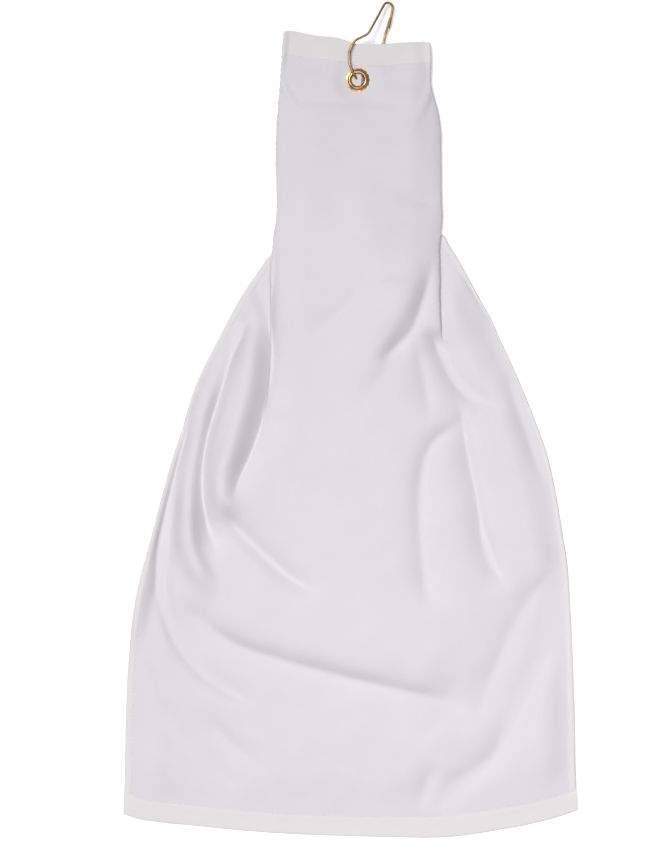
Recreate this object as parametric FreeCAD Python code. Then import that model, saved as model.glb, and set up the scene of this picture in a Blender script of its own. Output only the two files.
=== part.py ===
import FreeCAD, Part
import math
import os

# A golf towel lying flat: +X to the right, +Y towards the hook, +Z up from the surface it lies on.
# The origin is the centre of the bounding box, on that surface. Lengths are in millimetres.
# The cloth is one hemmed sheet. Its two side thirds are folded behind the middle third at the top,
# where a grommet clamps the three layers, and open out below into a wide skirt.

CLOTH = 1.8                  # one layer of terry velour, pile included
LAYERS = 3                   # layers of cloth in the neck
NECK_LIFT = 3.6              # the top of the neck stands this high, on the wire that passes under it
LIFT_START = 262.0           # the neck is level from here up to its top edge
LIFT_END = 225.0             # and lies on the surface from here down
NECK_BOTTOM = 142.0          # the flaps open out below this line
LEFT_CREASE = -68.0          # the pressed folds at a third and two thirds of the towel's width
RIGHT_CREASE = 76.0
CREASE_GAP = 0.2             # the flaps stand this far off the sides of the front panel
SIDE_HEM = 7.3
THREAD = 0.5                 # width of a row of stitching
THREAD_HEIGHT = 0.3
STITCH_INSET = 1.5           # from the inner edge or the end of a hem to its stitching

# The neck's left side from the top down, its right side from the bottom up, and its top edge from
# right to left.
NECK_LEFT = [(-57.2, 330.0), (-58.7, 312.0), (-61.1, 281.0), (-64.0, 228.0), (-63.3, 190.0),
             (LEFT_CREASE, NECK_BOTTOM)]
NECK_RIGHT = [(RIGHT_CREASE, NECK_BOTTOM), (78.2, 160.0), (77.5, 205.0), (76.0, 248.0),
              (69.5, 278.0), (68.4, 295.0), (68.0, 321.5)]
TOP_EDGE = [(68.0, 321.5), (40.0, 320.8), (8.0, 319.7), (-33.0, 327.5), (-57.2, 330.0)]
TOP_HEM_LINE = [(-59.0, 312.0), (69.0, 307.0)]

# The outer edges of the open flaps, from the neck down to the bottom hem.
LEFT_EDGE = [(-66.0, 139.5), (-110.0, 70.0), (-149.7, -25.4), (-170.6, -102.0), (-183.2, -152.0),
             (-190.6, -220.0), (-192.6, -280.0), (-194.2, -318.0)]
RIGHT_EDGE = [(75.0, 141.0), (98.1, 121.4), (121.1, 81.2), (146.5, 27.5), (167.7, -29.0),
              (180.4, -95.3), (187.4, -152.6), (191.4, -253.7), (194.4, -314.0)]
BOTTOM_EDGE = [(-194.4, -336.9), (-163.5, -343.7), (-104.0, -349.7), (-3.0, -354.9), (66.0, -356.4),
               (125.5, -350.5), (181.2, -337.9), (194.4, -333.0)]

# The height of the front panel's underside along the skirt, as (y, z), and where each flap meets it.
BELLY = [(NECK_BOTTOM, CLOTH * 2), (60.0, 9.5), (-40.0, 14.5), (-180.0, 10.5), (-290.0, 2.4),
         (-330.0, 0.0)]
BELLY_JOIN = [(50.0, 5.0), (10.0, 11.8), (-40.0, 14.5), (-180.0, 10.5), (-290.0, 2.4)]
LEFT_TUCK = [(-54.0, 133.0, 0.0), (-58.0, 112.0, 0.2), (-64.0, 82.0, 1.2)]
RIGHT_TUCK = [(62.0, 134.0, 0.0), (66.0, 112.0, 0.2), (72.0, 82.0, 1.2)]
LEFT_FOOT_Y = -333.0         # where the creases meet the bottom hem
RIGHT_FOOT_Y = -336.5

GROMMET = FreeCAD.Vector(5.9, 289.3, 0.0)
BORE_R = 5.25
SHEET_METAL = 0.55
CURL_R = 1.55                # outer radius of the barrel's rolled end
BACK_FLANGE_R = 9.4
BACK_FLANGE_ROUND = 0.8
WASHER_R = 10.0
WASHER_RISE = 0.75
METAL_FIT = 0.03             # play between the washer and the eyelet
HOLE_R = 5.9                 # hole through the cloth

WIRE_R = 1.0
GATE_GAP = 0.3               # wire left out each side of the point where the gate bends

# The hook's wire as corners (x, y, z) and the bend's radius there: the short leg of the hairpin,
# the hairpin, the front leg over the cloth, down through the grommet, and the turn behind it.
FRAME_ROUTE = [((32.7, 334.7, 1.7), 0.0), ((36.4, 354.3, 4.0), 3.8), ((29.9, 356.6, 5.6), 3.8),
               ((18.7, 335.1, 11.0), 20.0), ((14.7, 327.8, 12.1), 5.0), ((3.4, 322.4, 12.6), 8.0),
               ((-1.3, 313.0, 12.9), 14.0), ((-1.4, 303.0, 13.1), 14.0), ((2.8, 292.7, 13.0), 3.0),
               ((8.5, 287.2, 1.35), 3.0), ((13.5, 282.2, 1.35), 2.8), ((18.0, 282.3, 1.35), 2.8),
               ((19.0, 286.4, 1.35), 0.0)]
# The gate leg: under the cloth and up to the side of the hairpin's short leg.
GATE_ROUTE = [((19.0, 286.4, 1.35), 0.0), ((26.6, 317.4, 1.35), 40.0), ((29.8, 330.0, 2.3), 20.0),
              ((33.9, 343.3, 5.9), 0.0)]

# Stock that is trimmed to an outline: half its width, how far it reaches in Y, and its height.
WIDE = 120.0
STOCK_TOP = 450.0
STOCK_BOTTOM = -400.0
STOCK_LOW = -20.0
STOCK_HEIGHT = 60.0


def flat_point(x, y):
    return FreeCAD.Vector(x, y, 0.0)


def smooth_curve(points):
    curve = Part.BSplineCurve()
    curve.interpolate([FreeCAD.Vector(*point) for point in points])
    return curve


def inset_curve(curve, distance, samples=14):
    """A curve beside another one in plan, on its right-hand side for a positive distance."""
    points = []
    for step in range(samples + 1):
        where = curve.FirstParameter + (curve.LastParameter - curve.FirstParameter) * step / samples
        along = curve.tangent(where)[0]
        side = FreeCAD.Vector(along.y, -along.x, 0.0).normalize()
        points.append(curve.value(where) + side * distance)
    beside = Part.BSplineCurve()
    beside.interpolate(points)
    return beside


def plate(edge_a, edge_b, thickness):
    """Cloth between two edges, with its thickness straight up."""
    face = Part.makeRuledSurface(edge_a, edge_b)
    return face.extrude(FreeCAD.Vector(0, 0, thickness))


def strip_profile(heights, smooth_tail=None):
    """A layer seen from the side: a chain of (y, z), and a smooth curve after it."""
    chain = [FreeCAD.Vector(-WIDE, y, z) for y, z in heights]
    below = [Part.makeLine(a, b) for a, b in zip(chain, chain[1:])]
    if smooth_tail:
        tail = smooth_curve([(-WIDE, y, z) for y, z in smooth_tail])
        end = FreeCAD.Vector(-WIDE, STOCK_BOTTOM, smooth_tail[-1][1])
        below += [tail.toShape(), Part.makeLine(tail.EndPoint, end)]
    up = FreeCAD.Vector(0, 0, CLOTH)
    above = [edge.translated(up) for edge in below]
    first = below[0].Vertexes[0].Point
    last = below[-1].Vertexes[-1].Point
    ends = [Part.makeLine(first, first + up), Part.makeLine(last, last + up)]
    outline = Part.Wire(Part.__sortEdges__(below + above + ends))
    return Part.Face(outline).extrude(FreeCAD.Vector(2 * WIDE, 0, 0))


def tall_prism(edges):
    outline = Part.Wire(Part.__sortEdges__(edges))
    prism = Part.Face(outline).extrude(FreeCAD.Vector(0, 0, STOCK_HEIGHT))
    return prism.translated(FreeCAD.Vector(0, 0, STOCK_LOW))


def neck_sides():
    left = smooth_curve([(x, y, 0.0) for x, y in NECK_LEFT]).toShape()
    right = smooth_curve([(x, y, 0.0) for x, y in NECK_RIGHT]).toShape()
    top = smooth_curve([(x, y, 0.0) for x, y in TOP_EDGE]).toShape()
    return [left, right, top]


def chain_edges(points):
    corners = [flat_point(x, y) for x, y in points]
    return [Part.makeLine(a, b) for a, b in zip(corners, corners[1:])]


def front_plan():
    return tall_prism(neck_sides() + chain_edges([
        (LEFT_CREASE, NECK_BOTTOM), (LEFT_CREASE, LEFT_FOOT_Y),
        (RIGHT_CREASE, RIGHT_FOOT_Y), (RIGHT_CREASE, NECK_BOTTOM)]))


def neck_plan():
    return tall_prism(neck_sides() + chain_edges([
        (LEFT_CREASE, NECK_BOTTOM), (RIGHT_CREASE, NECK_BOTTOM)]))


def hem_side_of_neck():
    """Everything above the line where the neck's pile ends and its top hem begins."""
    (left_x, left_y), (right_x, right_y) = TOP_HEM_LINE
    slope = (right_y - left_y) / (right_x - left_x)
    left = (-WIDE, left_y + slope * (-WIDE - left_x))
    right = (WIDE, right_y + slope * (WIDE - right_x))
    return tall_prism(chain_edges([left, right, (WIDE, STOCK_TOP), (-WIDE, STOCK_TOP), left]))


def grommet_hole():
    return Part.makeCylinder(HOLE_R, STOCK_HEIGHT, GROMMET + FreeCAD.Vector(0, 0, STOCK_LOW))


def neck_heights(layer):
    base = layer * CLOTH
    return [(STOCK_TOP, NECK_LIFT + base), (LIFT_START, NECK_LIFT + base),
            (LIFT_END, base), (NECK_BOTTOM, base)]


def neck_layers():
    """The right flap at the bottom, the left flap on it and the front panel on top."""
    flap_ends = [(0.0, layer * CLOTH) for layer in range(LAYERS - 1)]
    layers = []
    for layer, end in enumerate(flap_ends):
        heights = neck_heights(layer) + [end]
        layers.append(strip_profile(heights).common(neck_plan()))
    front = strip_profile(neck_heights(LAYERS - 1), BELLY)
    layers.append(front.common(front_plan()))
    return [layer.cut(grommet_hole()) for layer in layers]


def flap_curves(edge_points, tuck, crease, foot_y, inward):
    """The flap's outer edge, the inner line of its side hem, and the line where it meets the fold."""
    outer = smooth_curve([(x, y, 0.0) for x, y in edge_points])
    hem_line = inset_curve(outer, inward * SIDE_HEM)
    fold = tuck + [(crease, y, z) for y, z in BELLY_JOIN] + [(crease, foot_y, 0.0)]
    return outer, hem_line, smooth_curve(fold)


def side_stitching(outer, inward):
    middle = SIDE_HEM - STITCH_INSET
    lines = [inset_curve(outer, inward * (middle + side * THREAD / 2)) for side in (-1, 1)]
    row = plate(lines[0].toShape(), lines[1].toShape(), THREAD_HEIGHT)
    return row.translated(FreeCAD.Vector(0, 0, CLOTH))


def bottom_hem(inner_points):
    outer = smooth_curve([(x, y, 0.0) for x, y in BOTTOM_EDGE])
    inner = [Part.makeLine(a, b) for a, b in zip(inner_points, inner_points[1:])]
    sides = [Part.makeLine(inner_points[0], outer.StartPoint),
             Part.makeLine(inner_points[-1], outer.EndPoint)]
    outline = Part.Wire(Part.__sortEdges__(inner + sides + [outer.toShape()]))
    return Part.Face(outline).extrude(FreeCAD.Vector(0, 0, CLOTH))


def bottom_stitching(inner_points):
    rows = []
    for side in (-1, 1):
        drop = STITCH_INSET + side * THREAD / 2
        ends = [point - FreeCAD.Vector(0, drop, 0) for point in inner_points]
        rows.append(smooth_curve([tuple(point) for point in ends]).toShape())
    return plate(rows[0], rows[1], THREAD_HEIGHT).translated(FreeCAD.Vector(0, 0, CLOTH))


def top_stitching():
    (left_x, left_y), (right_x, right_y) = TOP_HEM_LINE
    start = flat_point(left_x + STITCH_INSET, left_y + STITCH_INSET)
    end = flat_point(right_x - STITCH_INSET, right_y + STITCH_INSET)
    wide = FreeCAD.Vector(0, THREAD, 0)
    row = plate(Part.makeLine(start, end), Part.makeLine(start + wide, end + wide), THREAD_HEIGHT)
    return row.translated(FreeCAD.Vector(0, 0, NECK_LIFT + LAYERS * CLOTH))


def turned(outline_edges):
    """A ring turned about the grommet's axis from its section in the X-Z plane."""
    section = Part.Face(Part.Wire(Part.__sortEdges__(outline_edges)))
    ring = section.revolve(FreeCAD.Vector(0, 0, 0), FreeCAD.Vector(0, 0, 1), 360)
    return ring.translated(GROMMET)


def section_line(start, end):
    return Part.makeLine(FreeCAD.Vector(start[0], 0, start[1]), FreeCAD.Vector(end[0], 0, end[1]))


def section_arc(start, middle, end):
    points = [FreeCAD.Vector(x, 0, z) for x, z in (start, middle, end)]
    return Part.Arc(*points).toShape()


def grommet_eyelet():
    """The barrel, its flange behind the cloth and its end rolled over the washer in front."""
    back = NECK_LIFT
    front = NECK_LIFT + LAYERS * CLOTH + WASHER_RISE
    curl = BORE_R + CURL_R
    curl_in = CURL_R - SHEET_METAL
    barrel_out = BORE_R + SHEET_METAL
    flange_low = back - SHEET_METAL
    rounding = BACK_FLANGE_ROUND
    bend = rounding * (1 - math.sqrt(0.5))
    return turned([
        section_arc((BORE_R + rounding, flange_low), (BORE_R + bend, flange_low + bend),
                    (BORE_R, flange_low + rounding)),
        section_line((BORE_R, flange_low + rounding), (BORE_R, front)),
        section_arc((BORE_R, front), (curl, front + CURL_R), (curl + CURL_R, front)),
        section_line((curl + CURL_R, front), (curl + curl_in, front)),
        section_arc((curl + curl_in, front), (curl, front + curl_in), (barrel_out, front)),
        section_line((barrel_out, front), (barrel_out, back)),
        section_line((barrel_out, back), (BACK_FLANGE_R, back)),
        section_line((BACK_FLANGE_R, back), (BACK_FLANGE_R, flange_low)),
        section_line((BACK_FLANGE_R, flange_low), (BORE_R + rounding, flange_low))])


def grommet_washer():
    """The washer in front, slightly dished from its rim up to the barrel."""
    seat = NECK_LIFT + LAYERS * CLOTH
    inner = BORE_R + SHEET_METAL + METAL_FIT
    rim = seat + WASHER_RISE / 2
    shoulder = BORE_R + 2 * CURL_R
    top = seat + WASHER_RISE - METAL_FIT
    corners = [(inner, seat), (WASHER_R, seat), (WASHER_R, rim), (shoulder, top), (inner, top)]
    return turned([section_line(a, b) for a, b in zip(corners, corners[1:] + corners[:1])])


def bent_path(route):
    """Straight runs joined by tangent arcs, one for each corner of the route."""
    corners = [FreeCAD.Vector(*point) for point, radius in route]
    radii = [radius for point, radius in route]
    edges = []
    start = corners[0]
    for corner, after, radius in zip(corners[1:-1], corners[2:], radii[1:-1]):
        back = (start - corner).normalize()
        ahead = (after - corner).normalize()
        half_turn = (math.pi - back.getAngle(ahead)) / 2
        reach = radius * math.tan(half_turn)
        inwards = (back + ahead).normalize()
        middle = corner + inwards * (radius / math.cos(half_turn) - radius)
        entry = corner + back * reach
        leave = corner + ahead * reach
        edges += [Part.makeLine(start, entry), Part.Arc(entry, middle, leave).toShape()]
        start = leave
    edges.append(Part.makeLine(start, corners[-1]))
    return Part.Wire(edges)


def shortened(route, at_start, at_end):
    """The route with a little wire taken off its ends."""
    points = [FreeCAD.Vector(*point) for point, radius in route]
    first = points[0] + (points[1] - points[0]).normalize() * at_start
    last = points[-1] + (points[-2] - points[-1]).normalize() * at_end
    return [(tuple(first), 0.0)] + route[1:-1] + [(tuple(last), 0.0)]


def wire(route):
    path = bent_path(route)
    start = path.Edges[0]
    along = start.tangentAt(start.FirstParameter)
    section = Part.Wire([Part.Circle(start.valueAt(start.FirstParameter), along, WIRE_R).toShape()])
    tube = path.makePipeShell([section], True, False)
    print("wire length %.1f, volume %.1f of %.1f" % (
        path.Length, tube.Volume, math.pi * WIRE_R ** 2 * path.Length))
    return tube


def towel_parts():
    right_folded, left_folded, front = neck_layers()
    top = hem_side_of_neck()
    left_out, left_hem, left_fold = flap_curves(
        LEFT_EDGE, LEFT_TUCK, LEFT_CREASE - CREASE_GAP, LEFT_FOOT_Y, -1)
    right_out, right_hem, right_fold = flap_curves(
        RIGHT_EDGE, RIGHT_TUCK, RIGHT_CREASE + CREASE_GAP, RIGHT_FOOT_Y, 1)
    hem_ends = [curve.EndPoint for curve in (
        left_out, left_hem, left_fold, right_fold, right_hem, right_out)]
    return {
        "front_panel": front.cut(top),
        "left_flap_folded": left_folded.cut(top),
        "right_flap_folded": right_folded.cut(top),
        "left_flap_open": plate(left_fold.toShape(), left_hem.toShape(), CLOTH),
        "right_flap_open": plate(right_fold.toShape(), right_hem.toShape(), CLOTH),
        "top_hem_front": front.common(top),
        "top_hem_left_flap": left_folded.common(top),
        "top_hem_right_flap": right_folded.common(top),
        "left_side_hem": plate(left_hem.toShape(), left_out.toShape(), CLOTH),
        "right_side_hem": plate(right_hem.toShape(), right_out.toShape(), CLOTH),
        "bottom_hem": bottom_hem(hem_ends),
        "top_hem_stitching": top_stitching(),
        "left_side_stitching": side_stitching(left_out, -1),
        "right_side_stitching": side_stitching(right_out, 1),
        "bottom_hem_stitching": bottom_stitching(hem_ends),
    }


def metal_parts():
    return {
        "grommet_eyelet": grommet_eyelet(),
        "grommet_washer": grommet_washer(),
        "hook_frame": wire(shortened(FRAME_ROUTE, 0.0, GATE_GAP)),
        "hook_gate": wire(shortened(GATE_ROUTE, GATE_GAP, 0.0)),
    }


def main():
    os.makedirs("parts", exist_ok=True)
    parts = towel_parts()
    parts.update(metal_parts())
    for node, shape in parts.items():
        shape.exportStep("parts/%s.step" % node)
    whole = Part.makeCompound(list(parts.values()))
    box = whole.BoundBox
    print("x %.2f to %.2f, y %.2f to %.2f, z %.2f to %.2f" % (
        box.XMin, box.XMax, box.YMin, box.YMax, box.ZMin, box.ZMax))
    for node, shape in parts.items():
        print("%-22s solids %d valid %s volume %9.1f" % (
            node, len(shape.Solids), shape.isValid(), shape.Volume))


main()
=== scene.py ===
import math

import bmesh
import bpy
import numpy as np
from bpy.props import FloatProperty, FloatVectorProperty, PointerProperty
from mathutils import Matrix, Vector


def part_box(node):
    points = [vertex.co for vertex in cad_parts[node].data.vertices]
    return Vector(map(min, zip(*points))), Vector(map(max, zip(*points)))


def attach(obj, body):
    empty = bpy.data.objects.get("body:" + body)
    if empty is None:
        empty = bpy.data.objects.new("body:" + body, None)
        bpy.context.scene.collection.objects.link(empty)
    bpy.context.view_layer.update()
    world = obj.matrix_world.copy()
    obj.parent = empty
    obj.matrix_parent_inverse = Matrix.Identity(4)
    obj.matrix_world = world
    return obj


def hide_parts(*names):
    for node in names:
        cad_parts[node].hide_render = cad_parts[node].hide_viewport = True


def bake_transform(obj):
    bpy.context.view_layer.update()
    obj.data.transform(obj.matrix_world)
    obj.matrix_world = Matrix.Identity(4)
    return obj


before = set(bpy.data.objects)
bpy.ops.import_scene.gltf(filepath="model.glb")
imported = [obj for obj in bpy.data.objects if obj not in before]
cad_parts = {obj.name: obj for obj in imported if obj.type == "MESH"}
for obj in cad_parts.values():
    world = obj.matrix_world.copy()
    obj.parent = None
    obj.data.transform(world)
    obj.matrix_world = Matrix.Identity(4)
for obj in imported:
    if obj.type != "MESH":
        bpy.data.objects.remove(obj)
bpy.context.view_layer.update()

bl_info = {
    "name": "Golf Towel",
    "version": (1, 0, 0),
    "blender": (4, 5, 0),
    "location": "View3D > Sidebar > Golf Towel",
    "description": "Builds a trifold golf towel with its grommet and wire hook",
    "category": "Object",
}

# The towel lies on the floor at z = 0 with its hook towards +Y. Tables and working lengths are in
# millimetres, and meshes are in metres. On the flat cloth, s runs across from the middle and t runs
# down from the top edge.

MM = 0.001
SHARP = math.radians(50.0)   # edges turn from smooth to crisp at this angle

TOP_HEM = 20.0               # depth of each hem
BOTTOM_HEM = 19.0
SIDE_HEM = 7.3
HEM_LAP = 0.8                # the pile runs this far under a hem's edge

# Down the towel, as (t, value): where each fold is in plan, how much cloth lies between the middle
# and the fold, and how far the flap runs back under the front before it turns out again.
LEFT_FOLD_X = [(0, -57.2), (18, -58.7), (50, -61.1), (74, -63.3), (105, -64.1), (133, -63.3),
               (149, -63.5), (167, -66.0), (188, -68.2), (240, -68.6), (290, -69.5), (318, -73.0),
               (336, -79.0), (352, -86.0), (368, -93.0), (385, -100.0), (405, -107.0), (430, -112.0),
               (520, -111.0), (686, -110.0)]
LEFT_FOLD_S = [(0, 67.7), (183, 67.7), (240, 68.0), (303, 70.0), (336, 78.0), (353, 85.0),
               (380, 96.0), (405, 104.0), (430, 108.0), (520, 112.0), (686, 115.0)]
LEFT_UNDER = [(0, 128.5), (50, 128.5), (70, 121.0), (97, 107.0), (135, 89.0), (183, 67.7),
              (240, 46.0), (280, 26.0), (310, 10.0), (330, 2.0), (345, 0.0), (686, 0.0)]
RIGHT_FOLD_X = [(0, 68.0), (12, 69.1), (27, 68.3), (42, 69.3), (52, 72.4), (72, 76.4), (102, 77.4),
                (132, 77.7), (163, 78.2), (182, 76.0), (207, 76.5), (234, 76.3), (264, 79.5),
                (286, 87.5), (316, 97.0), (342, 101.8), (366, 106.0), (387, 110.0), (415, 115.0),
                (435, 119.0), (520, 121.0), (686, 120.0)]
RIGHT_FOLD_S = [(0, 67.7), (173, 67.7), (234, 67.7), (264, 69.5), (286, 78.0), (316, 87.0),
                (342, 92.0), (366, 96.0), (387, 100.0), (415, 105.0), (435, 110.0), (520, 118.0),
                (686, 125.0)]
RIGHT_UNDER = [(0, 128.5), (50, 128.0), (70, 120.0), (97, 104.0), (135, 84.0), (173, 67.7),
               (205, 46.0), (230, 24.0), (250, 8.0), (265, 1.0), (275, 0.0), (686, 0.0)]

# The side hems in plan from where they come out from behind the neck, and the t where they do.
LEFT_OUT_T = 183.0
LEFT_EDGE = [(-67.9, 140.2), (-92.7, 102.4), (-110.0, 70.0), (-128.4, 33.4), (-149.7, -25.4),
             (-161.7, -68.0), (-170.6, -102.0), (-183.0, -152.0), (-189.6, -203.0), (-192.2, -254.0),
             (-193.0, -304.0), (-194.2, -336.5)]
RIGHT_OUT_T = 173.5
RIGHT_EDGE = [(78.2, 157.0), (83.4, 147.0), (89.4, 137.5), (98.1, 121.4), (108.4, 102.4),
              (121.1, 81.2), (133.8, 55.8), (146.5, 27.5), (157.8, -0.7), (167.7, -29.0),
              (174.8, -60.0), (180.4, -93.0), (184.7, -120.0), (187.2, -153.0), (189.6, -203.0),
              (191.4, -254.0), (192.4, -304.0), (194.0, -333.0)]
LEFT_CORNER_Y = 330.3        # the neck's top corners, and the middle of its top and bottom edges
RIGHT_CORNER_Y = 321.2
MIDDLE_TOP_Y = 320.0
MIDDLE_BOTTOM_Y = -355.4
TOP_EDGE = [(-57.2, 330.3), (-54.0, 331.4), (-47.5, 331.2), (-40.0, 329.4), (-33.0, 327.7),
            (-20.5, 326.2), (-10.9, 325.0), (-3.4, 322.7), (1.5, 320.5), (7.9, 319.7), (24.0, 319.8),
            (40.0, 320.8), (54.0, 321.7), (63.0, 322.0), (68.0, 321.2)]
BOTTOM_EDGE = [(-194.2, -336.5), (-185.5, -339.6), (-163.5, -343.5), (-132.0, -346.6),
               (-104.0, -349.5), (-47.0, -353.6), (-3.0, -355.2), (41.0, -356.2), (70.0, -356.6),
               (83.5, -356.0), (125.5, -350.2), (159.0, -343.7), (181.0, -337.6), (194.0, -333.0)]
EDGE_REACH = 60.0            # how far in from an edge its own waviness dies away

FOLD_R = 2.4                 # how tightly the cloth turns at a fold
LAYER_RISE = 2.15            # one layer on another, and the same squeezed by the grommet
LAYER_PINCH = 1.8
STEP = 7.0                   # a layer's edge shows through the ones above over this distance
# The height, in layers, at which the front spans the flaps' edges behind it, down the towel.
BRIDGE = [(0, 2.1), (35, 2.1), (60, 2.8), (90, 3.9), (120, 4.1), (200, 3.9), (260, 3.0), (310, 1.9),
          (360, 1.1), (430, 0.5), (500, 0.1), (560, 0.0), (686, 0.0)]
BRIDGE_RISE = 30.0

# Where the neck rides on the hook's wire: its height there and at its sides.
WIRE_LIFT = 3.6
SIDE_LIFT = 0.7
LIFT_START = 262.0
LIFT_END = 222.0
LIFT_LEFT = (-54.0, -24.0)
LIFT_RIGHT = (68.0, 50.0)

# Rounded ridges (a positive height) and creases (a negative one), each along a line in plan. The two
# widths are on the left and right of somebody walking down the line.
FOLDS = [
    # the left flap, from the crevice beside the front panel out to its hem
    (7.5, 28.0, 28.0, [(-84, 84), (-96, 40), (-108, -10), (-116, -60), (-108, -104)]),
    (-9.5, 5.5, 6.5, [(-74, 168), (-70, 110), (-68, 75), (-66, 52), (-71, 21), (-78, -8), (-86, -30),
                       (-96, -52), (-103, -72)]),
    (5.0, 9.0, 8.0, [(-90, 130), (-88, 96), (-85, 50), (-91, 14), (-101, -20), (-109, -50),
                     (-106, -76), (-92, -98)]),
    (-11.0, 7.0, 6.5, [(-80, 98), (-98, 64), (-107, 36), (-116, 8), (-123, -17), (-127, -51),
                       (-124, -81), (-110, -122)]),
    (8.0, 8.0, 10.0, [(-112, 48), (-121, 24), (-132, -16), (-139, -66), (-134, -116), (-112, -152)]),
    (-9.0, 8.0, 7.0, [(-112, -58), (-104, -82), (-95, -94), (-78, -111), (-56, -131), (-20, -152)]),
    (-8.5, 10.0, 5.0, [(-132, 10), (-148, -40), (-157, -74), (-163, -108), (-163, -136), (-158, -165),
                       (-148, -188), (-137, -204), (-120, -221), (-76, -244)]),
    (-7.5, 16.0, 16.0, [(-190, -196), (-172, -238), (-148, -270), (-120, -296), (-88, -314)]),
    (-4.5, 12.0, 12.0, [(-132, -240), (-103, -276), (-62, -304)]),
    # the long fold across the lower skirt, and the two that come up from its right end
    (-7.5, 13.0, 16.0, [(-150, -150), (-122, -178), (-95, -192), (-56, -205), (-16, -216), (25, -226),
                        (69, -237), (90, -246), (101, -268)]),
    (5.0, 44.0, 12.0, [(-122, -156), (-95, -174), (-56, -188), (-16, -200), (25, -209), (66, -220),
                       (90, -228)]),
    (-6.5, 16.0, 18.0, [(100, -270), (112, -242), (128, -202), (142, -172), (157, -148), (176, -120)]),
    (-8.0, 12.0, 7.0, [(66, -336), (92, -312), (122, -288), (136, -262), (147, -239), (162, -205),
                       (172, -170), (177, -136)]),
    (-4.5, 8.0, 6.0, [(58, -338), (65, -312), (73, -288)]),
    # the front panel
    (5.0, 22.0, 10.0, [(2, 22), (13, 44), (26, 70), (38, 91), (47, 108), (48, 124), (38, 136)]),
    (-6.5, 9.0, 8.0, [(70, 146), (66, 119), (60, 98), (50, 74), (34, 59), (10, 42)]),
    (-3.6, 14.0, 12.0, [(-46, 66), (-30, 76), (-10, 92), (12, 112), (30, 124)]),
    (4.0, 20.0, 30.0, [(38, 132), (20, 152), (12, 172), (12, 194), (22, 216)]),
    # the right crease, and the valleys that run out of it over the flap
    (3.6, 30.0, 6.0, [(92, 140), (92, 110), (92, 84), (98, 58)]),
    (-5.0, 9.0, 9.0, [(54, 78), (57, 56), (65, 21), (67, -10)]),
    (-10.5, 9.0, 9.0, [(62, 88), (69, 72), (76, 60), (84, 43), (97, 26), (114, 15), (136, 13)]),
    (-6.5, 6.0, 10.0, [(88, 20), (95, 0), (99, -26), (107, -64), (112, -94), (120, -119), (134, -148)]),
    (-3.6, 6.0, 10.0, [(108, -70), (112, -94), (120, -119), (134, -148)]),
    (-7.0, 9.0, 8.0, [(100, 6), (90, -4), (76, -13), (65, -30), (60, -56), (60, -94), (63, -128),
                      (69, -166)]),
    (-3.5, 8.0, 6.0, [(166, -60), (156, -24), (143, 18), (130, 46)]),
    # the neck
    (-3.5, 14.0, 7.0, [(-66, 274), (-40, 272), (-24, 272), (-8, 270), (8, 271), (24, 270), (60, 265)]),
    (-2.2, 8.0, 7.0, [(20, 283), (42, 286), (63, 281), (80, 275)]),
    (-2.0, 7.0, 8.0, [(10, 295), (26, 300), (42, 304), (64, 312)]),
    (-3.0, 8.0, 6.0, [(34, 187), (56, 187), (80, 183)]),
    (-3.6, 10.0, 10.0, [(-66, 318), (-44, 305), (-14, 298)]),
]
CREASE_R = 1.8               # how sharp a crease is at its bottom
FOLD_FADE = 36.0             # a fold dies away over this length at its ends

BELLY_HEIGHT = 5.5
BELLY_CENTRE = (4.0, -70.0)
BELLY_REACH = (110.0, 150.0)
SHOULDER_Y = 150.0           # the neck ends and the skirt begins
NECK_PUFF = 5.0              # how much the front panel swells at the neck, from its folds inwards
PUFF_REACH = 5.0
PUFF_Y = (30.0, 316.0)       # the swelling's two ends, and how quickly it grows from each
PUFF_FADE = (80.0, 40.0)
SQUEEZE_START = 9.5          # how far from its axis the grommet holds the layers down
SQUEEZE_REACH = 15.0
HEM_CURL = 8.0               # the left hem stands up off the floor between these two places
HEM_CURL_Y = (-205.0, 0.0)
HEM_CURL_IN = 3.5            # its crest is this far in from the edge
HEM_CURL_WIDTH = 8.0
SKIRT_HEIGHT = 6.2           # the general level of the skirt inside its hems
EDGE_SLOPE = 28.0
WAVER_HEIGHT = 0.22          # a slight unevenness everywhere
WAVER_SEED = 7
REST_LEVEL = 0.95            # no cloth lies lower than this, at the middle of its thickness
REST_SOFTNESS = 0.7

# The hook's wire as corners (x, y, z) and the bend's radius there: the short leg of the hairpin, the
# hairpin, the front leg over the cloth, down through the grommet, and the turn behind it.
FRAME_ROUTE = [((32.7, 334.7, 1.7), 0.0), ((36.4, 354.3, 4.0), 3.8), ((29.9, 356.6, 5.6), 3.8),
               ((18.7, 335.1, 11.0), 20.0), ((14.7, 327.8, 12.1), 9.0), ((3.4, 322.4, 12.6), 9.0),
               ((-1.3, 313.0, 12.9), 14.0), ((-1.4, 303.0, 13.1), 14.0), ((2.8, 292.7, 13.0), 3.0),
               ((8.5, 287.2, 1.35), 3.0), ((13.5, 282.2, 1.35), 2.8), ((18.0, 282.3, 1.35), 2.8),
               ((19.0, 286.4, 1.35), 0.0)]
GATE_ROUTE = [((18.9, 286.0, 1.35), 0.0), ((26.6, 317.4, 1.35), 40.0), ((29.8, 330.0, 2.3), 20.0),
              ((33.9, 343.3, 5.9), 0.0)]

# Where the stage's lights and camera stand, in metres.
KEY_PLACE = (-0.52, 0.44, 1.5)
FILL_PLACE = (0.08, -0.20, 0.90)
CAMERA_PLACE = (-0.0134, -0.0041)


# ---------------------------------------------------------------- how the towel lies

def ease(value):
    value = np.clip(value, 0.0, 1.0)
    return value * value * (3.0 - 2.0 * value)


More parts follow.
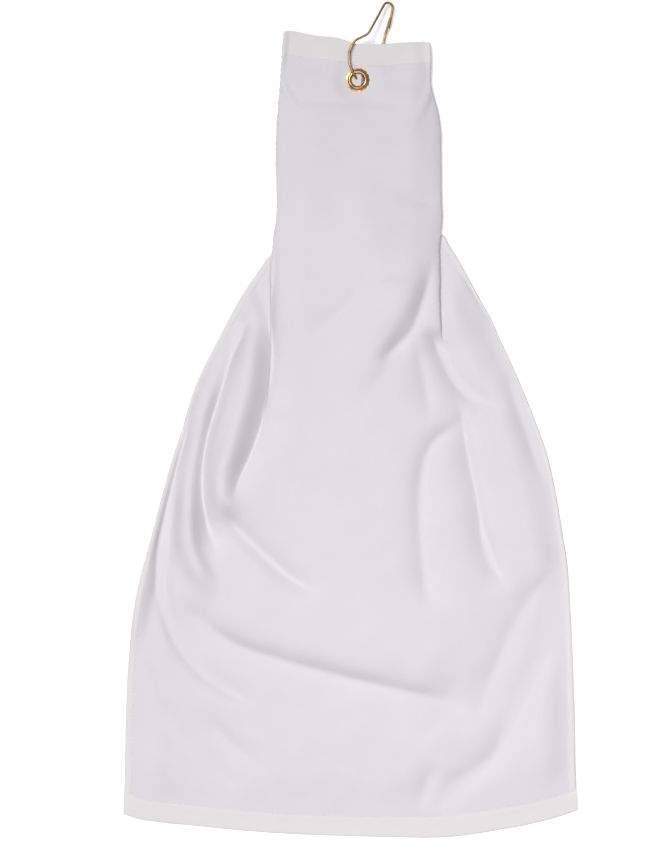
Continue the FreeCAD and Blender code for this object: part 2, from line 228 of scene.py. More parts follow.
def smooth_through(points, where):
    """A smooth line through (place, value) points, level beyond its ends."""
    places, values = np.array(points, float).T
    slopes = np.gradient(values, places)
    first = np.clip(np.searchsorted(places, where, side="right") - 1, 0, len(places) - 2)
    gap = places[first + 1] - places[first]
    u = np.clip((where - places[first]) / gap, 0.0, 1.0)
    start = (1.0 + 2.0 * u) * (1.0 - u) ** 2 * values[first]
    end = u * u * (3.0 - 2.0 * u) * values[first + 1]
    leave = u * (1.0 - u) ** 2 * gap * slopes[first]
    arrive = u * u * (u - 1.0) * gap * slopes[first + 1]
    return start + end + leave + arrive


def edge_lines(points, start, end):
    """An edge in plan as two tables, of x and y, against the distance down the towel."""
    corners = np.array(points, float)
    steps = np.hypot(*np.diff(corners, axis=0).T)
    run = np.concatenate([[0.0], np.cumsum(steps)])
    down = start + run / run[-1] * (end - start)
    return list(zip(down, corners[:, 0])), list(zip(down, corners[:, 1]))


def ramp(value, radius=FOLD_R):
    """0 before the fold and the distance past it after, rounded at the turn."""
    return (value + np.sqrt(value * value + radius * radius)) / 2.0


def rounded(points, gap=9.0):
    """A line in plan as closer points on a smooth curve through its corners."""
    corners = np.array(points, float)
    run = np.concatenate([[0.0], np.cumsum(np.hypot(*np.diff(corners, axis=0).T))])
    where = np.linspace(0.0, run[-1], int(run[-1] / gap) + 2)
    both = [smooth_through(list(zip(run, values)), where) for values in corners.T]
    return np.stack(both, axis=1)


def near_line(x, y, points):
    """For each place, its distance to the right of a line in plan, and how far along the line it is."""
    corners = np.array(points, float)
    lengths = np.hypot(*np.diff(corners, axis=0).T)
    best = np.full(x.shape, 1e9)
    side = np.zeros(x.shape)
    along = np.zeros(x.shape)
    run = 0.0
    for (ax, ay), (bx, by), length in zip(corners, corners[1:], lengths):
        dx = (bx - ax) / length
        dy = (by - ay) / length
        part = np.clip((x - ax) * dx + (y - ay) * dy, 0.0, length)
        off_x = x - ax - dx * part
        off_y = y - ay - dy * part
        distance = np.hypot(off_x, off_y)
        closer = distance < best
        best = np.where(closer, distance, best)
        side = np.where(closer, off_x * dy - off_y * dx, side)
        along = np.where(closer, run + part, along)
        run += length
    return best, side, along, run


def one_fold(x, y, height, left, right, points):
    distance, side, along, length = near_line(x, y, points)
    width = left + (right - left) * ease(side / (left + right) + 0.5)
    fade = min(FOLD_FADE, length / 2.5)
    strength = ease(along / fade) * ease((length - along) / fade)
    if height > 0.0:
        return height * strength * np.exp(-(distance / width) ** 2)
    return height * strength * np.exp((CREASE_R - np.hypot(distance, CREASE_R)) / width)


def waver(x, y):
    rng = np.random.default_rng(WAVER_SEED)
    total = np.zeros(x.shape)
    for wave in range(18):
        angle = rng.uniform(0.0, math.pi)
        length = rng.uniform(22.0, 75.0)
        phase = rng.uniform(0.0, 2.0 * math.pi)
        run = x * math.cos(angle) + y * math.sin(angle)
        total += np.sin(run / length * 2.0 * math.pi + phase)
    return total * WAVER_HEIGHT / 3.0


class Lay:
    """Where each point of the flat cloth lies."""

    def __init__(self, width, length, grommet):
        self.half = width / 2.0
        self.length = length
        self.grommet = grommet
        self.left_x, self.left_y = edge_lines(LEFT_EDGE, LEFT_OUT_T, length)
        self.right_x, self.right_y = edge_lines(RIGHT_EDGE, RIGHT_OUT_T, length)
        self.creases = [(*sizes, rounded(points)) for *sizes, points in FOLDS]

    def folds(self, t):
        """Each side's fold line at t: its x, the cloth inside it, the cloth it hides, and the hem."""
        rough = 0.22 * np.sin(t * 1.9) * np.sin(t * 0.73 + 1.0) + 0.18 * np.sin(t * 1.13 + 2.0)
        left = (smooth_through(LEFT_FOLD_X, t) + 0.9 + rough, smooth_through(LEFT_FOLD_S, t),
                np.maximum(smooth_through(LEFT_UNDER, t), 0.0))
        right = (smooth_through(RIGHT_FOLD_X, t) - 0.9 + rough, smooth_through(RIGHT_FOLD_S, t),
                 np.maximum(smooth_through(RIGHT_UNDER, t), 0.0))
        return left, right

    def flap_x(self, past, fold_x, inside, under, hem_x, grow, sign):
        """The x of cloth past a fold. sign is -1 on the left and 1 on the right."""
        reach = self.half - inside
        out = sign * (hem_x - fold_x) + under
        spread = out / np.maximum(reach - under, 1.0)
        turned = under / (under + FOLD_R)
        inward = grow * past - (1.0 + grow) * ramp(past) + (1.0 + spread) * ramp(past - under)
        return fold_x + sign * (inward + FOLD_R * turned)

    def plan(self, s, t):
        left, right = self.folds(t)
        grow = (right[0] - left[0]) / (left[1] + right[1])
        hidden_left = left[0] + 2.0 * left[2] - (self.half - left[1])
        hidden_right = right[0] - 2.0 * right[2] + (self.half - right[1])
        hem_left = np.where(t < LEFT_OUT_T, hidden_left, smooth_through(self.left_x, t))
        hem_right = np.where(t < RIGHT_OUT_T, hidden_right, smooth_through(self.right_x, t))
        middle = left[0] + (s + left[1]) * grow
        past_left = -s - left[1]
        past_right = s - right[1]
        x_left = self.flap_x(past_left, left[0], left[1], left[2], hem_left, grow, -1.0)
        x_right = self.flap_x(past_right, right[0], right[1], right[2], hem_right, grow, 1.0)
        x = np.where(s < 0.0, x_left, x_right)
        return x, middle, left, right, past_left, past_right

    def row(self, x, t, left, right):
        """The y of a row of the cloth, at t, where it passes x."""
        left_x = np.where(t < LEFT_OUT_T, left[0], smooth_through(self.left_x, t))
        right_x = np.where(t < RIGHT_OUT_T, right[0], smooth_through(self.right_x, t))
        left_y = np.where(t < LEFT_OUT_T, LEFT_CORNER_Y + t / LEFT_OUT_T * (
            LEFT_EDGE[0][1] - LEFT_CORNER_Y), smooth_through(self.left_y, t))
        right_y = np.where(t < RIGHT_OUT_T, RIGHT_CORNER_Y + t / RIGHT_OUT_T * (
            RIGHT_EDGE[0][1] - RIGHT_CORNER_Y), smooth_through(self.right_y, t))
        middle_y = MIDDLE_TOP_Y + t / self.length * (MIDDLE_BOTTOM_Y - MIDDLE_TOP_Y)
        to_left = (x / left_x) * (x - right_x) / (left_x - right_x)
        to_right = (x / right_x) * (x - left_x) / (right_x - left_x)
        to_middle = (x - left_x) * (x - right_x) / (left_x * right_x)
        return left_y * to_left + right_y * to_right + middle_y * to_middle

    def edge_waves(self, x, t, left, right):
        zero = np.zeros(x.shape)
        full = zero + self.length
        top = smooth_through(TOP_EDGE, x) - self.row(x, zero, *self.folds(zero))
        low = smooth_through(BOTTOM_EDGE, x) - self.row(x, full, *self.folds(full))
        return top * ease(1.0 - t / EDGE_REACH) + low * ease((t - self.length) / EDGE_REACH + 1.0)

    def height(self, x, y):
        """How high the lowest layer lies."""
        distance_left = near_line(x, y, LEFT_EDGE)[0]
        distance_right = near_line(x, y, RIGHT_EDGE)[0]
        from_side = np.minimum(distance_left, distance_right)
        from_bottom = y - smooth_through(BOTTOM_EDGE, x)
        skirt = ease((SHOULDER_Y - y) / 60.0)
        level = SKIRT_HEIGHT * ease((from_side - 2.0) / EDGE_SLOPE) * ease(from_bottom / 60.0) * skirt
        far_x = (x - BELLY_CENTRE[0]) / BELLY_REACH[0]
        far_y = (y - BELLY_CENTRE[1]) / BELLY_REACH[1]
        level += BELLY_HEIGHT * np.exp(-far_x ** 2 - far_y ** 2)
        curl = ease((y - HEM_CURL_Y[0]) / 50.0) * ease((HEM_CURL_Y[1] - y) / 60.0)
        level += HEM_CURL * curl * np.exp(-((distance_left - HEM_CURL_IN) / HEM_CURL_WIDTH) ** 2)
        lift = ease((y - LIFT_END) / (LIFT_START - LIFT_END))
        across = ease((x - LIFT_LEFT[0]) / (LIFT_LEFT[1] - LIFT_LEFT[0]))
        across *= ease((x - LIFT_RIGHT[0]) / (LIFT_RIGHT[1] - LIFT_RIGHT[0]))
        level += lift * (SIDE_LIFT + (WIRE_LIFT - SIDE_LIFT) * across)
        return level

    def relief(self, x, y):
        from_side = np.minimum(near_line(x, y, LEFT_EDGE)[0], near_line(x, y, RIGHT_EDGE)[0])
        from_bottom = y - smooth_through(BOTTOM_EDGE, x)
        total = waver(x, y)
        for height, left, right, points in self.creases:
            total = total + one_fold(x, y, height, left, right, points)
        quiet = ease((from_side + 3.0) / 9.0) * ease((from_bottom - 2.0) / 26.0)
        quiet = np.where(y > SHOULDER_Y, 1.0, quiet)
        from_grommet = np.hypot(x - self.grommet.x, y - self.grommet.y)
        return total * quiet * ease((from_grommet - 8.5) / 6.0)

    def place(self, s, t):
        x, middle, left, right, past_left, past_right = self.plan(s, t)
        y = self.row(x, t, left, right) + self.edge_waves(x, t, left, right)
        turn = FOLD_R
        in_left = ease(past_left / (2 * turn) + 0.5)
        in_right = ease(past_right / (2 * turn) + 0.5)
        out_left = in_left * ease((past_left - left[2]) / (2 * turn) + 0.5)
        out_right = in_right * ease((past_right - right[2]) / (2 * turn) + 0.5)

        def layers(distance, under, inside):
            folded = ease(under / 8.0) * ease((under - distance) / STEP + 0.5)
            back = folded * ease((distance - 2.0 * under + self.half - inside) / STEP + 0.5)
            return folded, back

        one_left, two_left = layers(x - left[0], left[2], left[1])
        one_right, two_right = layers(right[0] - x, right[2], right[1])
        front = (1.0 - in_left) * (1.0 - in_right)
        under_front = one_left + two_left + one_right + two_right
        inside = np.minimum(x - left[0], right[0] - x)
        under = np.where(x - left[0] < right[0] - x, left[2], right[2])
        at_fold = 2.0 * ease(under / 8.0)
        bridge = at_fold + (smooth_through(BRIDGE, t) - at_fold) * ease(inside / BRIDGE_RISE)
        gap = bridge - under_front
        level = front * (bridge + under_front + np.sqrt(gap * gap + 0.04) - 0.2) / 2.0
        level += (in_left - out_left) * (two_left + one_right + two_right)
        level += out_left * (one_right + two_right)
        level += (in_right - out_right) * two_right
        from_grommet = np.hypot(x - self.grommet.x, y - self.grommet.y)
        squeeze = 1.0 - ease((from_grommet - SQUEEZE_START) / SQUEEZE_REACH)
        rise = LAYER_RISE + (LAYER_PINCH - LAYER_RISE) * squeeze
        puff = NECK_PUFF * ease((y - PUFF_Y[0]) / PUFF_FADE[0]) * ease((PUFF_Y[1] - y) / PUFF_FADE[1])
        base = self.height(x, y) + self.relief(x, y)
        base += puff * (1.0 - np.exp(-np.maximum(inside, 0.0) / PUFF_REACH))
        base = REST_SOFTNESS * np.log1p(np.exp(base / REST_SOFTNESS)) + REST_LEVEL - 0.05
        lifted = ease((y - LIFT_START + 4.0) / 20.0) * squeeze
        base = base + (WIRE_LIFT + 0.9 - base) * lifted
        return np.stack([x, y, base + level * rise], axis=-1)

    def normal(self, s, t):
        small = 0.35
        across = self.place(s + small, t) - self.place(s - small, t)
        down = self.place(s, t + small) - self.place(s, t - small)
        facing = np.cross(down, across)
        return facing / np.linalg.norm(facing, axis=-1, keepdims=True)


# ---------------------------------------------------------------- meshes

def grid_mesh(columns, rows):
    """A flat grid as a bmesh, and each vertex's column and row as whole numbers."""
    shape = bmesh.new()
    bmesh.ops.create_grid(shape, x_segments=columns - 1, y_segments=rows - 1, size=1.0)
    at = np.array([vertex.co[:2] for vertex in shape.verts])
    column = np.rint((at[:, 0] + 1.0) / 2.0 * (columns - 1)).astype(int)
    row = np.rint((at[:, 1] + 1.0) / 2.0 * (rows - 1)).astype(int)
    return shape, column, row


def as_object(name, shape):
    for edge in shape.edges:
        edge.smooth = edge.calc_face_angle(math.pi) < SHARP
    mesh = bpy.data.meshes.new(name)
    shape.to_mesh(mesh)
    shape.free()
    mesh.shade_smooth()
    piece = bpy.data.objects.new(name, mesh)
    bpy.context.scene.collection.objects.link(piece)
    return piece


def write_flat_map(shape, s, t):
    """The flat cloth's own coordinates, in metres, as the piece's UV map."""
    layer = shape.loops.layers.uv.new("flat_cloth")
    shape.verts.index_update()
    for face in shape.faces:
        for loop in face.loops:
            index = loop.vert.index
            loop[layer].uv = (s[index] * MM, -t[index] * MM)


def move_vertices(shape, points):
    for vertex, point in zip(shape.verts, points * MM):
        vertex.co = point


def finish_piece(piece, body, slot, material, *nodes):
    piece.data.materials.append(material)
    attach(piece, body)
    if nodes:
        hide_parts(*nodes)
    return piece


def nubs(s, t):
    """How a hem's thickness varies, for the uneven edge of woven cloth."""
    return 1.0 + 0.10 * np.sin(s * 1.7 + np.sin(t * 2.1)) * np.sin(t * 1.3 + s * 0.31)


def band(name, lay, section, stations, along_s):
    """A closed band of hem. section is a loop of (across, through), in millimetres."""
    loop = np.array(section + section[:1], float)
    shape, column, row = grid_mesh(len(loop), len(stations))
    across = loop[column, 0]
    through = loop[column, 1]
    along = np.array(stations, float)[row]
    s, t = (along, across) if along_s else (across, along)
    points = lay.place(s, t) + lay.normal(s, t) * (through * nubs(s, t))[:, None]
    write_flat_map(shape, s, t)
    move_vertices(shape, points)
    bmesh.ops.remove_doubles(shape, verts=shape.verts[:], dist=1e-7)
    open_edges = [edge for edge in shape.edges if edge.is_boundary]
    bmesh.ops.holes_fill(shape, edges=open_edges, sides=0)
    bmesh.ops.recalc_face_normals(shape, faces=shape.faces[:])
    return as_object(name, shape)


def turned_ring(name, profile, centre, steps=96):
    """A ring spun about the grommet's axis from a closed profile of (radius, z)."""
    shape = bmesh.new()
    vertices = [shape.verts.new((radius * MM, 0.0, z * MM)) for radius, z in profile]
    edges = [shape.edges.new(pair) for pair in zip(vertices, vertices[1:] + vertices[:1])]
    bmesh.ops.spin(shape, geom=vertices + edges, cent=(0.0, 0.0, 0.0), axis=(0.0, 0.0, 1.0),
                   angle=2.0 * math.pi, steps=steps, use_merge=True, use_duplicate=False)
    bmesh.ops.remove_doubles(shape, verts=shape.verts[:], dist=1e-8)
    bmesh.ops.recalc_face_normals(shape, faces=shape.faces[:])
    bmesh.ops.translate(shape, verts=shape.verts[:], vec=centre)
    return shape


def bent_wire(name, route, radius):
    """A round wire along straight runs joined by arcs, as a mesh."""
    corners = [Vector(point) * MM for point, bend in route]
    bends = [bend * MM for point, bend in route]
    knots = []
    for corner, before, after, bend in zip(corners[1:-1], corners, corners[2:], bends[1:-1]):
        back = (before - corner).normalized()
        ahead = (after - corner).normalized()
        turn = math.pi - back.angle(ahead)
        reach = bend * math.tan(turn / 2.0)
        pull = 4.0 / 3.0 * math.tan(turn / 4.0) * bend
        entry = corner + back * reach
        leave = corner + ahead * reach
        knots.append((entry, entry + back * pull, entry - back * pull))
        knots.append((leave, leave - ahead * pull, leave + ahead * pull))
    knots.insert(0, (corners[0],) * 3)
    knots.append((corners[-1],) * 3)
    curve = bpy.data.curves.new(name, "CURVE")
    curve.dimensions = "3D"
    curve.resolution_u = 14
    curve.bevel_depth = radius
    curve.bevel_resolution = 5
    curve.use_fill_caps = True
    spline = curve.splines.new("BEZIER")
    spline.bezier_points.add(len(knots) - 1)
    for knot, (point, left, right) in zip(spline.bezier_points, knots):
        knot.handle_left_type = "FREE"
        knot.handle_right_type = "FREE"
        knot.co = point
        knot.handle_left = left
        knot.handle_right = right
    first, last = spline.bezier_points[0], spline.bezier_points[-1]
    first.handle_right = first.co + (spline.bezier_points[1].co - first.co) / 3.0
    last.handle_left = last.co + (spline.bezier_points[-2].co - last.co) / 3.0
    holder = bpy.data.objects.new(name + "_line", curve)
    bpy.context.scene.collection.objects.link(holder)
    bpy.context.view_layer.update()
    made = holder.evaluated_get(bpy.context.evaluated_depsgraph_get())
    mesh = bpy.data.meshes.new_from_object(made)
    bpy.data.objects.remove(holder)
    shape = bmesh.new()
    shape.from_mesh(mesh)
    bpy.data.meshes.remove(mesh)
    bmesh.ops.remove_doubles(shape, verts=shape.verts[:], dist=1e-7)
    bmesh.ops.recalc_face_normals(shape, faces=shape.faces[:])
    return as_object(name, shape)


# ---------------------------------------------------------------- materials

class Value:
    """A socket that Python's operators work on, each adding a Math node."""

    def __init__(self, nodes, socket):
        self.nodes = nodes
        self.socket = socket

    def math(self, operation, first, second):
        return self.nodes.node("ShaderNodeMath", {"operation": operation}, {0: first, 1: second})

    def __add__(self, other):
        return self.math("ADD", self, other)

    def __radd__(self, other):
        return self.math("ADD", other, self)

    def __rsub__(self, other):
        return self.math("SUBTRACT", other, self)

    def __mul__(self, other):
        return self.math("MULTIPLY", self, other)


class Nodes:
    """A node tree that is written as expressions."""

    def __init__(self, owner):
        owner.use_nodes = True
        self.tree = owner.node_tree

    def node(self, kind, settings, sockets, output=0):
        made = self.tree.nodes.new(kind)
        for setting, value in settings.items():
            if setting == "stops":
                for index, (position, colour) in enumerate(value):
                    stops = made.color_ramp.elements
                    stop = stops[index] if index < len(stops) else stops.new(position)
                    stop.position = position
                    stop.color = (*colour, 1.0)
            else:
                setattr(made, setting, value)
        for socket, value in sockets.items():
            self.feed(made.inputs[socket], value)
        return Value(self, made.outputs[output])

    def feed(self, socket, value):
        if isinstance(value, Value):
            self.tree.links.new(value.socket, socket)
        elif isinstance(value, tuple) and len(value) == 3 and socket.type == "RGBA":
            socket.default_value = (*value, 1.0)
        else:
            socket.default_value = value


class Finish(Nodes):
    """A material with its maps."""

    def __init__(self, name, **constants):
        self.material = bpy.data.materials.new(name)
        super().__init__(self.material)
        self.shader = self.tree.nodes["Principled BSDF"]
        for socket, value in constants.items():
            self.shader.inputs[socket.replace("_", " ").title()].default_value = value

    def flat_cloth(self, across=1.0, down=1.0, turn=0.0):
        """The flat cloth's coordinates in metres, stretched for a streaky pattern."""
        where = self.node("ShaderNodeUVMap", {"uv_map": "flat_cloth"}, {})
        return self.node("ShaderNodeMapping", {}, {
            "Vector": where, "Scale": (across, down, 1.0), "Rotation": (0.0, 0.0, turn)})

    def noise(self, where, scale, detail=2.0, rough=0.5):
        return self.node("ShaderNodeTexNoise", {"noise_dimensions": "3D"}, {
            "Vector": where, "Scale": scale, "Detail": detail, "Roughness": rough})

    def between(self, factor, first, second):
        return self.node("ShaderNodeMix", {"data_type": "RGBA"}, {0: factor, 6: first, 7: second}, 2)

    def bump(self, height, distance, strength=1.0):
        normal = self.node("ShaderNodeBump", {}, {
            "Strength": strength, "Distance": distance, "Height": height})
        self.feed(self.shader.inputs["Normal"], normal)

    def colour(self, value):
        self.feed(self.shader.inputs["Base Color"], value)

    def roughness(self, value):
        self.feed(self.shader.inputs["Roughness"], value)


def velour(settings):
    """Sheared terry: a dense nap of fine loops, brushed across, with soft tonal patches."""
    finish = Finish("terry_velour", sheen_weight=0.25, sheen_roughness=0.45, roughness=0.95)
    finish.shader.inputs["Specular IOR Level"].default_value = 0.15
    nap = finish.noise(finish.flat_cloth(420.0, 1150.0), 1.0, 2.0, 0.6)
    tufts = finish.noise(finish.flat_cloth(), 1300.0, 1.0)
    patches = finish.noise(finish.flat_cloth(1.0, 0.6), 34.0, 3.0, 0.55)
    shade = tuple(settings.colour)
    dark = tuple(channel * 0.90 for channel in shade)
    light = tuple(min(channel * 1.045, 1.0) for channel in shade)
    finish.colour(finish.between(nap * 0.45 + patches * 0.40 + tufts * 0.15, dark, light))
    finish.roughness(0.9 + nap * 0.1)
    finish.bump(nap * 0.55 + tufts * 0.45, 0.0003, 0.5)
    return finish.material


def twill(settings):
    """The flat-woven hem: fine diagonal ribs, and the threads across them."""
    finish = Finish("woven_hem", sheen_weight=0.1, sheen_roughness=0.5, roughness=0.85)
    finish.shader.inputs["Specular IOR Level"].default_value = 0.2
    rib = finish.node("ShaderNodeTexWave", {"wave_type": "BANDS", "bands_direction": "X"}, {
        "Vector": finish.flat_cloth(1.0, 1.0, math.radians(45.0)),
        "Scale": 0.314 / settings.rib_pitch, "Distortion": 1.2, "Detail": 1.0,
        "Detail Scale": 2.0}, 1)
    thread = finish.noise(finish.flat_cloth(1500.0, 700.0), 1.0, 1.0)
    patches = finish.noise(finish.flat_cloth(), 60.0, 2.0)
    shade = tuple(settings.colour)
    dark = tuple(channel * 0.94 for channel in shade)
    light = tuple(min(channel * 1.04, 1.0) for channel in shade)
    finish.colour(finish.between(rib * 0.5 + thread * 0.25 + patches * 0.25, dark, light))
    finish.bump(rib * 0.7 + thread * 0.3, 0.00016, 0.6)
    return finish.material


def sewing_thread(settings):
    finish = Finish("thread", sheen_weight=0.1, roughness=0.7)
    where = finish.node("ShaderNodeTexCoord", {}, {}, 3)
    strands = finish.noise(where, 2200.0, 1.0)
    shade = tuple(settings.colour)
    dark = tuple(channel * 0.86 for channel in shade)
    finish.colour(finish.between(strands, dark, shade))
    finish.bump(strands, 0.0002, 0.5)
    return finish.material


def brass(name, settings, dull):
    """Plated brass, brighter where it is rubbed and browner where it has dulled."""
    finish = Finish(name, metallic=1.0)
    where = finish.node("ShaderNodeTexCoord", {}, {}, 3)
    broad = finish.noise(where, 260.0, 3.0, 0.6)
    fine = finish.noise(where, 1900.0, 2.0, 0.6)
    bright = tuple(settings.colour)
    brown = tuple(channel * factor for channel, factor in zip(bright, (0.52, 0.42, 0.34)))
    worn = finish.node("ShaderNodeMapRange", {}, {
        "Value": broad, "From Min": 0.38, "From Max": 0.38 + 0.3 * (1.0 + dull)})
    finish.colour(finish.between(worn, brown, bright))
    finish.roughness(0.36 - worn * 0.14 + fine * 0.08)
    finish.bump(fine * 0.6 + broad * 0.4, 0.00012, 0.35)
    return finish.material


# ---------------------------------------------------------------- settings

class ClothSettings(bpy.types.PropertyGroup):
    width: FloatProperty(name="Width", description="Flat width of the cut cloth",
                         default=0.406, min=0.1, unit="LENGTH")
    length: FloatProperty(name="Length", description="Flat length of the cut cloth",
                          default=0.686, min=0.1, unit="LENGTH")
    thickness: FloatProperty(name="Thickness", description="One layer of the velour, pile included",
                             default=0.0018, min=0.0005, unit="LENGTH")
    colour: FloatVectorProperty(name="Colour", description="Colour of the pile", subtype="COLOR",
                                default=(0.680, 0.662, 0.695), min=0.0, max=1.0)


class HemSettings(bpy.types.PropertyGroup):
    thickness: FloatProperty(name="Thickness", description="A flat-woven hem at its thickest",
                             default=0.0018, min=0.0005, unit="LENGTH")
    rib_pitch: FloatProperty(name="Rib pitch", description="Distance between the weave's ribs",
                             default=0.0021, min=0.0003, unit="LENGTH")
    colour: FloatVectorProperty(name="Colour", description="Colour of the woven hems",
                                subtype="COLOR", default=(0.705, 0.682, 0.690), min=0.0, max=1.0)
    stitch: FloatProperty(name="Stitch", description="Length of one stitch with its gap",
                          default=0.0034, min=0.001, unit="LENGTH")
    thread: FloatProperty(name="Thread", description="Diameter of the sewing thread",
                          default=0.0005, min=0.0001, unit="LENGTH")


class MetalSettings(bpy.types.PropertyGroup):
    wire: FloatProperty(name="Wire radius", description="Radius of the hook's wire",
                        default=0.001, min=0.0003, unit="LENGTH")
    colour: FloatVectorProperty(name="Colour", description="Colour of the brass", subtype="COLOR",
                                default=(0.66, 0.43, 0.19), min=0.0, max=1.0)


class StageSettings(bpy.types.PropertyGroup):
    key: FloatProperty(name="Key light", description="Strength of the soft light from the left",
                       default=1.90, min=0.0)
    fill: FloatProperty(name="Fill light", description="Power of the broad lamp above the skirt",
                        default=3.05, min=0.0)
    sky: FloatProperty(name="Sky", description="Brightness of the even light from all round",
                       default=0.355, min=0.0)
    camera_height: FloatProperty(name="Camera height", description="Camera above the floor",
                                 default=1.716, min=0.1, unit="LENGTH")


def current_lay():
    settings = bpy.context.scene.towel_cloth
    low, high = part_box("grommet_eyelet")
    return Lay(settings.width / MM, settings.length / MM, (low + high) / 2.0 / MM)


# ---------------------------------------------------------------- pieces

class TOWEL_OT_cloth(bpy.types.Operator):
    """Lay the velour sheet, folded in thirds at the neck and open below"""
    bl_idname = "towel.cloth"
    bl_label = "Cloth"

    def execute(self, context):
        settings = context.scene.towel_cloth
        lay = current_lay()
        edge = lay.half - SIDE_HEM + HEM_LAP
        fine = 9.0
        rows = np.linspace(TOP_HEM - HEM_LAP, lay.length - BOTTOM_HEM + HEM_LAP, 238)
        shares = [(46, 0), (22, 1), (50, 2), (22, 3), (46, 4)]
        columns = sum(count for count, part in shares)
        shape, column, row = grid_mesh(columns + 1, len(rows))
        t = rows[row]
        left, right = lay.folds(t)
        stops = [np.full(t.shape, -edge), -left[1] - fine, -left[1] + fine, right[1] - fine,
                 right[1] + fine, np.full(t.shape, edge)]
        s = np.zeros(t.shape)
        start = 0
        for count, part in shares:
            inside = (column >= start) & (column <= start + count)
            share = (column - start) / count
            s = np.where(inside, stops[part] + (stops[part + 1] - stops[part]) * share, s)
            start += count
        points = lay.place(s, t)
        write_flat_map(shape, s, t)
        hole_at = np.array([lay.grommet.x, lay.grommet.y])
        from_hole = points[:, :2] - hole_at
        distance = np.hypot(*from_hole.T)
        hole = 5.9
        rim = 10.0
        pushed = hole + distance * (rim - hole) / rim
        near = distance < rim
        scale = np.where(near, pushed / np.maximum(distance, 1e-6), 1.0)
        points[:, :2] = hole_at + from_hole * scale[:, None]
        shape.faces.ensure_lookup_table()
        cut = [face for face in shape.faces
               if all(near[v.index] for v in face.verts)
               and math.hypot(*np.mean([from_hole[v.index] for v in face.verts], axis=0)) < 2.6]
        move_vertices(shape, points)
        bmesh.ops.delete(shape, geom=cut, context="FACES")
        piece = as_object("towel_cloth", shape)
        wall = piece.modifiers.new("thickness", "SOLIDIFY")
        wall.thickness = settings.thickness
        wall.offset = 0.0
        finish_piece(piece, "towel", "terry_velour", velour(settings), "front_panel",
                     "left_flap_folded", "right_flap_folded", "left_flap_open", "right_flap_open")
        return {"FINISHED"}


def spaced(start, end, gap):
    return np.linspace(start, end, max(2, int(round((end - start) / gap)) + 1))


def fold_stations(lay, t, gap, fine_gap):
    """Places across the cloth at t, closer together where it is folded."""
    left, right = lay.folds(np.array([t]))
    stops = {-lay.half, lay.half}
    for inside, under, sign in ((left[1][0], left[2][0], -1), (right[1][0], right[2][0], 1)):
        for centre in ((inside, inside + under) if under > 1.0 else (inside,)):
            stops |= {sign * (centre - 8.0), sign * (centre + 8.0)}
    stops = sorted(stop for stop in stops if -lay.half <= stop <= lay.half)
    stations = [stops[0]]
    for a, b in zip(stops, stops[1:]):
        close = abs(b - a) < 16.5
        stations += list(spaced(a, b, fine_gap if close else gap))[1:]
    return stations


class TOWEL_OT_hems(bpy.types.Operator):
    """Sew the flat-woven end hems and the rolled side hems"""
    bl_idname = "towel.hems"
    bl_label = "Hems"

    def execute(self, context):
        settings = context.scene.towel_hems
        lay = current_lay()
        half = settings.thickness / MM / 2.0
        weave = twill(settings)

        def flat_section(outer, inner):
            """Round at the outer edge, with a small lip over the pile at the inner one."""
            sign = 1.0 if inner > outer else -1.0
            depth = abs(inner - outer)
            top = [(0.0, 0.0), (0.15, 0.55), (0.6, 0.9), (1.6, 1.0), (depth * 0.35, 0.92),
                   (depth * 0.7, 0.92), (depth - 2.2, 0.95), (depth - 1.3, 0.72),
                   (depth - 0.5, 1.02), (depth, 0.75)]
            low = [(a, -b) for a, b in reversed(top[1:])]
            return [(outer + sign * a, b * half) for a, b in top + low]

        def rolled_section(outer, inner):
            sign = 1.0 if inner > outer else -1.0
            depth = abs(inner - outer)
            top = [(0.0, 0.0), (0.2, 0.75), (0.9, 1.2), (2.4, 1.42), (4.4, 1.38), (depth - 1.7, 1.25),
                   (depth - 0.9, 0.98), (depth - 0.3, 1.12), (depth, 0.8)]
            low = [(a, -min(b, 1.0)) for a, b in reversed(top[1:])]
            return [(outer + sign * a, b * half) for a, b in top + low]

        end = lay.length
        side = lay.half
        down = spaced(TOP_HEM - 0.4, end - BOTTOM_HEM + 0.4, 2.2)
        hems = [
            ("top_hem", flat_section(0.0, TOP_HEM), fold_stations(lay, 10.0, 2.5, 0.9), True,
             ["top_hem_front", "top_hem_left_flap", "top_hem_right_flap"]),
            ("bottom_hem_band", flat_section(end, end - BOTTOM_HEM),
             fold_stations(lay, end - 10.0, 1.9, 1.9), True, ["bottom_hem"]),
            ("left_hem_roll", rolled_section(-side, SIDE_HEM - side), down, False,
             ["left_side_hem"]),
            ("right_hem_roll", rolled_section(side, side - SIDE_HEM), down, False,
             ["right_side_hem"]),
        ]
        for name, section, stations, along_s, nodes in hems:
            piece = band(name, lay, section, stations, along_s)
            finish_piece(piece, "towel", "woven_hem", weave, *nodes)
        return {"FINISHED"}


